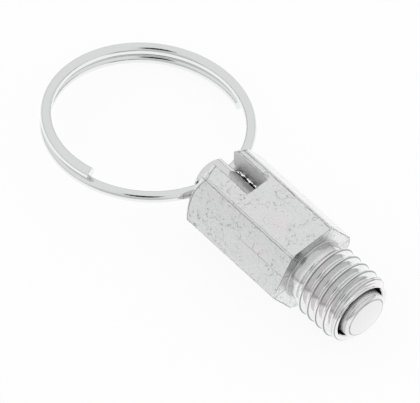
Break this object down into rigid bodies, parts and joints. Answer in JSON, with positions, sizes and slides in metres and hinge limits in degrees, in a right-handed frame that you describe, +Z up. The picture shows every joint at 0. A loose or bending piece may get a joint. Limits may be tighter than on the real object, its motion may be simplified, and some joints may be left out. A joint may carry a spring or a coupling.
{
  "type": "locking bolt",
  "caption": "Spring-loaded locking bolt: hex sleeve with threaded end and slotted rear, sliding plunger and split pull ring, shown pulled back and turned to stay retracted.",
  "frame": {"origin": "on the bolt's axis at the shoulder between hex and thread", "axes": "+X along the bolt towards the nose, +Z up, away from the flat that the bolt lies on"},
  "size_m": [0.0658, 0.0328, 0.014],
  "materials": {
    "zinc_plated_steel": "satin",
    "turned_steel": "satin",
    "spring_wire": "satin",
    "ring_wire": "polished"
  },
  "bodies": {
    "sleeve": {"sleeve": "zinc_plated_steel"},
    "spring": {"spring": "spring_wire"},
    "plunger": {"plunger": "turned_steel"},
    "ring": {"split_ring": "ring_wire"}
  },
  "joints": [
    {"name": "plunger_turn", "type": "hinge", "parent": "sleeve", "child": "spring", "pos_m": [0, 0, 0], "axis": [1, 0, 0], "continuous": true},
    {"name": "plunger_pull", "type": "slide", "parent": "spring", "child": "plunger", "axis": [-1, 0, 0], "range_m": [0, 0.0012], "stiffness_N_per_m": 800, "springref_m": -0.0045, "deforming": ["spring"]},
    {"name": "ring_swing", "type": "hinge", "parent": "plunger", "child": "ring", "pos_m": [-0.02173, 0, 0], "axis": [0, 0.9836, -0.1805], "range_deg": [-79, 90]}
  ]
}
